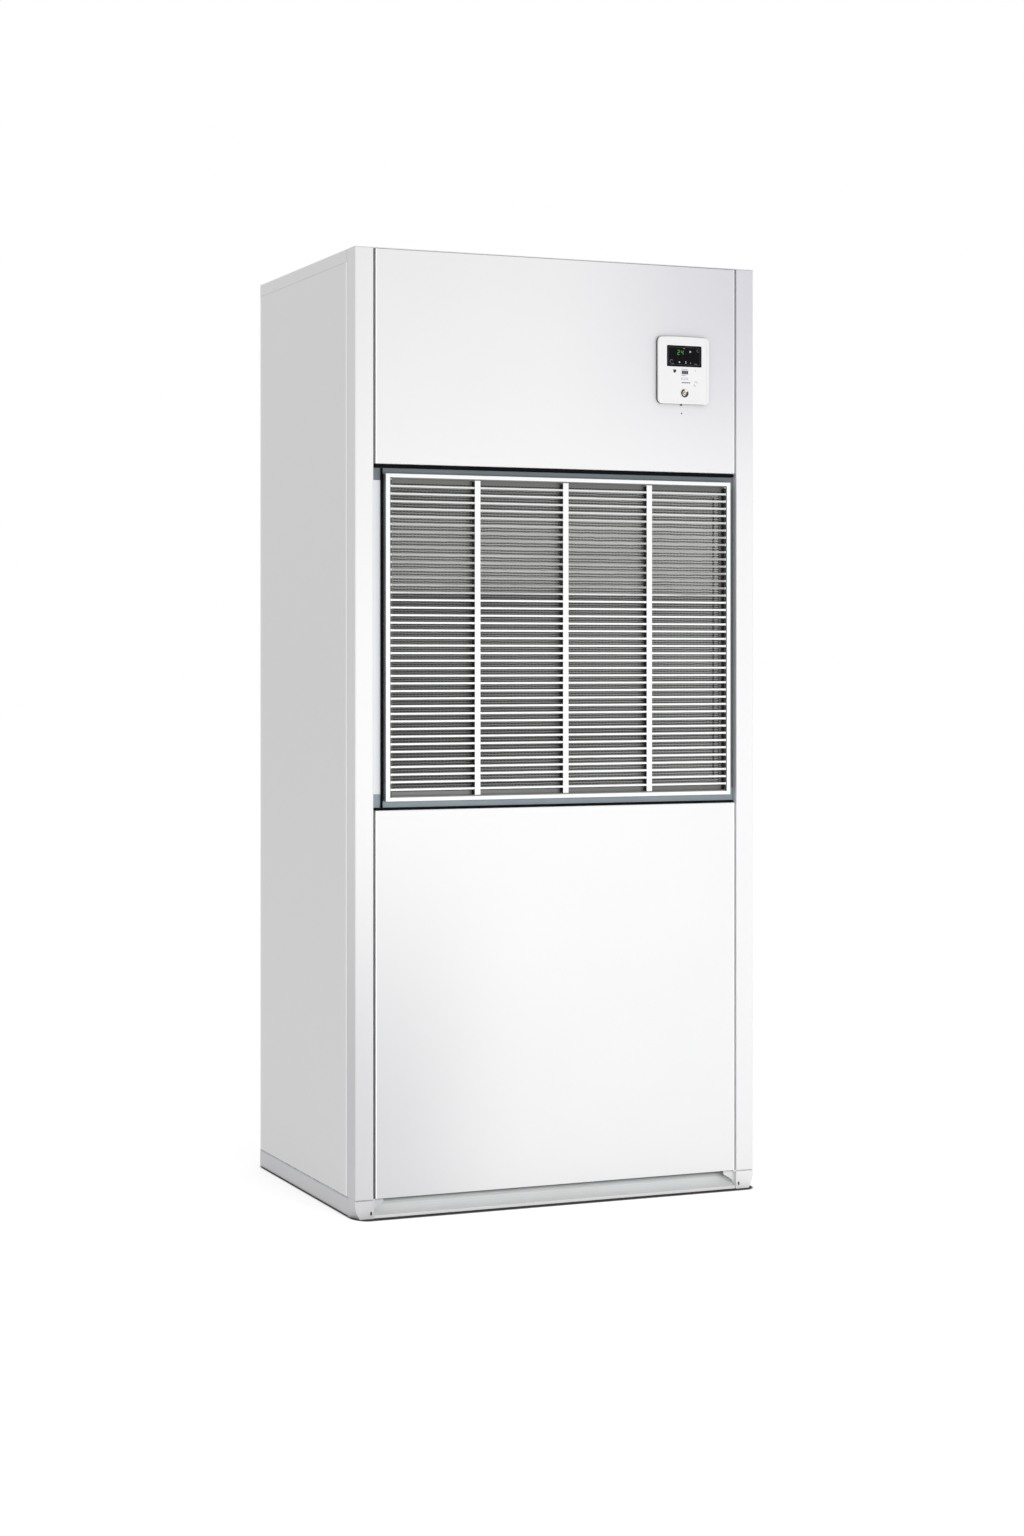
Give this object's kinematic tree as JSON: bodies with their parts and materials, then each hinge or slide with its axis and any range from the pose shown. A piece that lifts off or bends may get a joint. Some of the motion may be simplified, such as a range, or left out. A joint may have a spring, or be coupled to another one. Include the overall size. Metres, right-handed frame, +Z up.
{
  "type": "packaged air conditioner",
  "caption": "Floor-standing ducted packaged air conditioner: folded sheet cabinet with a hinged return grille, wall-style controller, belt-driven blower and a water-cooled condensing set.",
  "frame": {"origin": "middle of the footprint, on the floor; the controller's 10 mm at the front and the water connections' 10 mm at the back balance each other", "axes": "+Z up, front face with the grille and the controller towards -Y, +X to the viewer's right"},
  "size_m": [0.85, 0.62, 1.875],
  "materials": {
    "cabinet_paint": "fine-grained satin powder coat",
    "grille_paint": "satin powder coat on extruded aluminium",
    "galvanised": "bare galvanised sheet with soft spangle",
    "aluminium": "mill finish",
    "netting": "woven synthetic netting",
    "fins": "stacked thin fins",
    "copper": "drawn copper tube, slightly dulled",
    "steel": "ground steel",
    "cast": "painted casting",
    "motor_enamel": "grey-blue machine enamel",
    "rubber": "matt black",
    "black_enamel": "semi-gloss black enamel",
    "dark_enamel": "dark grey enamel",
    "brass": "pale lacquered brass",
    "white_plastic": "satin moulded plastic",
    "smoked_window": "smoked, polished",
    "key_plastic": "satin"
  },
  "bodies": {
    "cabinet": {"base_pan": "galvanised", "rail_side_l": "cabinet_paint", "rail_side_r": "cabinet_paint", "rail_rear": "cabinet_paint", "rail_front": "cabinet_paint", "shoe_l": "cabinet_paint", "shoe_r": "cabinet_paint", "post_front_l": "cabinet_paint", "post_front_r": "cabinet_paint", "post_rear_l": "galvanised", "post_rear_r": "galvanised", "side_panel_l": "cabinet_paint", "side_panel_r": "cabinet_paint", "rear_panel_lower": "cabinet_paint", "rear_panel_upper": "cabinet_paint", "top_cap": "cabinet_paint", "discharge_collar": "galvanised", "surround_top": "galvanised", "surround_bottom": "galvanised", "surround_left": "galvanised", "surround_right": "galvanised", "deck_lower": "galvanised", "deck_upper": "galvanised", "drain_pan": "galvanised", "coil_fins": "fins", "coil_plate_l": "galvanised", "coil_plate_r": "galvanised", "scroll_wrap": "galvanised", "scroll_side_l": "galvanised", "scroll_side_r": "galvanised", "blower_base": "galvanised", "bearing_stand_l": "galvanised", "bearing_stand_r": "galvanised", "bearing_l": "cast", "bearing_r": "cast", "motor_base": "galvanised", "motor": "motor_enamel", "belt": "rubber", "compressor": "black_enamel", "condenser": "dark_enamel", "condenser_cradle": "galvanised", "pipe_discharge": "copper", "pipe_suction": "copper", "pipe_liquid": "copper", "control_box": "galvanised"},
    "panel_upper": {"upper_panel": "cabinet_paint", "controller_case": "white_plastic", "display_window": "smoked_window"},
    "panel_lower": {"lower_panel": "cabinet_paint"},
    "grille": {"grille_frame": "grille_paint", "grille_core": "grille_paint", "filter_frame": "aluminium", "filter_net": "netting"},
    "blower_rotor": {"blower_wheel": "galvanised", "blower_shaft": "steel", "blower_pulley": "cast"},
    "motor_rotor": {"motor_shaft": "steel", "motor_pulley": "cast"},
    "key_mode": {"mode_key": "key_plastic"},
    "key_power": {"power_button": "brass"}
  },
  "joints": [
    {"name": "upper_panel_off", "type": "slide", "parent": "cabinet", "child": "panel_upper", "axis": [0, -1, 0], "range_m": [0, 0.3]},
    {"name": "lower_panel_off", "type": "slide", "parent": "cabinet", "child": "panel_lower", "axis": [0, -1, 0], "range_m": [0, 0.3]},
    {"name": "grille_hinge", "type": "hinge", "parent": "cabinet", "child": "grille", "pos_m": [0, -0.304, 0.7935], "axis": [1, 0, 0], "range_deg": [0, 90]},
    {"name": "blower_spin", "type": "hinge", "parent": "cabinet", "child": "blower_rotor", "pos_m": [0.03, 0.07, 1.648], "axis": [1, 0, 0], "continuous": true},
    {"name": "motor_spin", "type": "hinge", "parent": "cabinet", "child": "motor_rotor", "pos_m": [-0.187, -0.182, 1.5313], "axis": [1, 0, 0], "continuous": true},
    {"name": "mode_press", "type": "slide", "parent": "panel_upper", "child": "key_mode", "axis": [0, 1, 0], "range_m": [0, 0.0007], "stiffness_N_per_m": 400, "springref_m": -0.0005},
    {"name": "power_press", "type": "slide", "parent": "panel_upper", "child": "key_power", "axis": [0, 1, 0], "range_m": [0, 0.0007], "stiffness_N_per_m": 500, "springref_m": -0.0005}
  ],
  "couplings": [
    {"joint": "motor_spin", "follows": "blower_spin", "ratio": 2.1}
  ]
}
